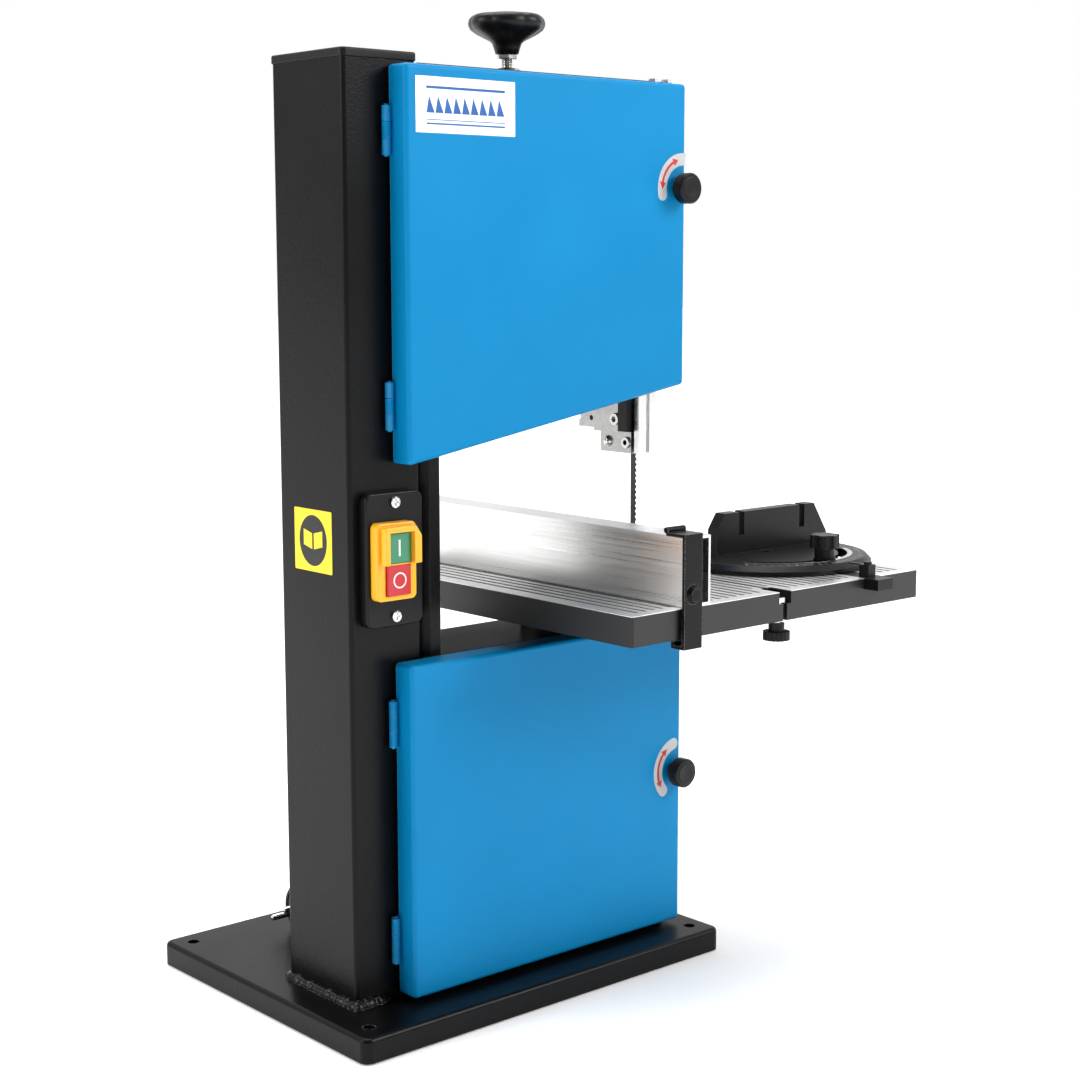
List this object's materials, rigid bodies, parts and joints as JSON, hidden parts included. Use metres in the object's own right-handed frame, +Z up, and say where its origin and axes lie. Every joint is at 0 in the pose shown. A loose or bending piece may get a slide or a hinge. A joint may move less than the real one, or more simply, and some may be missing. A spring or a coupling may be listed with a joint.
{
  "type": "band saw",
  "caption": "Benchtop band saw: box column on a sheet base, two doored wheel housings, tilting slotted table with rip fence and mitre gauge, blade guide, motor, switch and mains lead.",
  "frame": {"origin": "middle of the four base holes, on the surface that the saw stands on", "axes": "+X to the right along the doors and the table's front edge, +Y from the operator to the back, +Z up"},
  "size_m": [0.4785, 0.367, 0.705],
  "materials": {
    "black_coat": "gloss black powder coat with a fine hammered texture",
    "blue_coat": "blue powder coat with a fine orange-peel texture",
    "black_plastic": "moulded black plastic",
    "yellow_plastic": "moulded yellow plastic",
    "green_plastic": "moulded green plastic",
    "red_plastic": "moulded red plastic",
    "machined_steel": "machined steel",
    "bright_fastener": "zinc-plated steel",
    "blade_steel": "dark spring steel",
    "spring_steel": "oiled spring wire",
    "cast_table": "machined cast aluminium top with black painted sides",
    "brushed_aluminium": "brushed extruded aluminium",
    "cast_wheel": "cast aluminium",
    "tyre_rubber": "ground rubber",
    "black_cast": "black painted casting",
    "motor_grey": "ribbed cast aluminium",
    "cord_rubber": "black cord sheath"
  },
  "bodies": {
    "frame": {"base_plate": "black_coat", "base_pads": "tyre_rubber", "column": "black_coat", "column_cap": "black_plastic", "return_blade_guard": "black_coat", "upper_housing": "black_coat", "lower_housing": "black_coat", "frame_hinge_leaves": "blue_coat", "switch_box": "black_plastic", "frame_screws": "bright_fastener", "switch_bezel": "yellow_plastic", "saw_blade": "blade_steel", "tension_bracket": "black_cast", "guide_post_bracket": "black_cast", "lower_blade_guide": "machined_steel", "trunnion_bracket": "black_coat", "motor_body": "motor_grey", "motor_fan_cover": "black_plastic", "dust_port": "black_plastic", "cord_gland": "black_plastic", "cord_lead": "cord_rubber", "cord_tail": "cord_rubber", "cord_coil": "cord_rubber", "mains_plug": "black_plastic"},
    "upper_door": {"upper_door": "blue_coat", "upper_door_fittings": "bright_fastener"},
    "upper_latch": {"upper_door_latch": "black_plastic"},
    "lower_door": {"lower_door": "blue_coat", "lower_door_leaves": "blue_coat"},
    "lower_latch": {"lower_door_latch": "black_plastic"},
    "on_button": {"on_button": "green_plastic"},
    "off_button": {"off_button": "red_plastic"},
    "tension_knob": {"tension_knob": "black_plastic"},
    "wheel_carriage": {"wheel_carriage": "black_cast", "tension_spring": "spring_steel"},
    "tilt_yoke": {"tilt_yoke": "machined_steel"},
    "tracking_knob": {"tracking_knob": "black_plastic"},
    "upper_wheel": {"upper_wheel": "cast_wheel", "upper_tyre": "tyre_rubber", "upper_bearings": "machined_steel"},
    "lower_wheel": {"lower_wheel": "cast_wheel", "lower_tyre": "tyre_rubber", "motor_shaft": "machined_steel"},
    "blade_guide": {"guide_post": "machined_steel", "guide_body": "machined_steel", "blade_guides": "machined_steel", "guide_cover": "black_plastic", "guide_guard": "brushed_aluminium"},
    "guide_lock": {"guide_lock_knob": "black_plastic"},
    "table": {"table": "cast_table", "table_insert": "brushed_aluminium", "slot_bolt": "bright_fastener", "table_trunnion": "black_cast"},
    "thumb_nut": {"thumb_nut": "black_plastic"},
    "tilt_lock": {"tilt_lock_knob": "black_plastic"},
    "fence": {"fence": "brushed_aluminium", "fence_clamp": "black_coat"},
    "mitre_bar": {"mitre_bar": "black_cast"},
    "mitre_head": {"mitre_head": "black_cast"},
    "mitre_knob": {"mitre_knob": "black_plastic"}
  },
  "joints": [
    {"name": "upper_door_swing", "type": "hinge", "parent": "frame", "child": "upper_door", "pos_m": [-0.1093, -0.0842, 0.52], "axis": [0, 0, -1], "range_deg": [0, 105]},
    {"name": "upper_latch_turn", "type": "hinge", "parent": "upper_door", "child": "upper_latch", "pos_m": [0.146, -0.1, 0.583], "axis": [0, 1, 0], "range_deg": [0, 90]},
    {"name": "lower_door_swing", "type": "hinge", "parent": "frame", "child": "lower_door", "pos_m": [-0.1093, -0.0842, 0.14], "axis": [0, 0, -1], "range_deg": [0, 105]},
    {"name": "lower_latch_turn", "type": "hinge", "parent": "lower_door", "child": "lower_latch", "pos_m": [0.146, -0.1, 0.142], "axis": [0, 1, 0], "range_deg": [0, 90]},
    {"name": "on_button_press", "type": "slide", "parent": "frame", "child": "on_button", "axis": [0, 1, 0], "range_m": [0, 0.003], "stiffness_N_per_m": 400},
    {"name": "off_button_press", "type": "slide", "parent": "frame", "child": "off_button", "axis": [0, 1, 0], "range_m": [0, 0.003], "stiffness_N_per_m": 400},
    {"name": "tension_turn", "type": "hinge", "parent": "frame", "child": "tension_knob", "pos_m": [0.0322, -0.0404, 0.69], "axis": [0, 0, 1], "range_deg": [0, 1728]},
    {"name": "carriage_slide", "type": "slide", "parent": "frame", "child": "wheel_carriage", "axis": [0, 0, 1], "range_m": [-0.006, 0]},
    {"name": "tracking_turn", "type": "hinge", "parent": "wheel_carriage", "child": "tracking_knob", "pos_m": [0.0322, -0.01, 0.55197], "axis": [0, 1, 0], "range_deg": [0, 389]},
    {"name": "yoke_tilt", "type": "hinge", "parent": "wheel_carriage", "child": "tilt_yoke", "pos_m": [0.0322, -0.043, 0.52097], "axis": [1, 0, 0], "range_deg": [0, 2]},
    {"name": "lower_wheel_spin", "type": "hinge", "parent": "frame", "child": "lower_wheel", "pos_m": [0.0322, -0.069, 0.14], "axis": [0, 1, 0], "continuous": true},
    {"name": "upper_wheel_spin", "type": "hinge", "parent": "tilt_yoke", "child": "upper_wheel", "pos_m": [0.0322, -0.069, 0.53677], "axis": [0, 1, 0], "continuous": true},
    {"name": "guide_height", "type": "slide", "parent": "frame", "child": "blade_guide", "axis": [0, 0, 1], "range_m": [-0.075, 0]},
    {"name": "guide_lock_turn", "type": "hinge", "parent": "frame", "child": "guide_lock", "pos_m": [0.15, -0.025, 0.477], "axis": [1, 0, 0], "range_deg": [0, 360]},
    {"name": "table_tilt", "type": "hinge", "parent": "frame", "child": "table", "pos_m": [0.1327, 0.008, 0.2988], "axis": [0, 1, 0], "range_deg": [0, 45]},
    {"name": "thumb_nut_turn", "type": "hinge", "parent": "table", "child": "thumb_nut", "pos_m": [0.1327, -0.2164, 0.27], "axis": [0, 0, 1], "range_deg": [0, 720]},
    {"name": "tilt_lock_turn", "type": "hinge", "parent": "frame", "child": "tilt_lock", "pos_m": [0.1327, 0.02, 0.2338], "axis": [0, 1, 0], "range_deg": [0, 360]},
    {"name": "fence_slide", "type": "slide", "parent": "table", "child": "fence", "axis": [-1, 0, 0], "range_m": [-0.05, 0.02]},
    {"name": "mitre_slide", "type": "slide", "parent": "table", "child": "mitre_bar", "axis": [0, 1, 0], "range_m": [-0.06, 0.12]},
    {"name": "mitre_turn", "type": "hinge", "parent": "mitre_bar", "child": "mitre_head", "pos_m": [0.2285, -0.12, 0.302], "axis": [0, 0, 1], "range_deg": [-60, 60]},
    {"name": "mitre_knob_turn", "type": "hinge", "parent": "mitre_head", "child": "mitre_knob", "pos_m": [0.2285, -0.178, 0.31], "axis": [0, 0, 1], "range_deg": [0, 360]}
  ],
  "couplings": [
    {"joint": "tension_turn", "follows": "carriage_slide", "rad_per_m": -5026.5},
    {"joint": "tracking_turn", "follows": "yoke_tilt", "ratio": 194.4},
    {"joint": "upper_wheel_spin", "follows": "lower_wheel_spin", "ratio": 1}
  ]
}
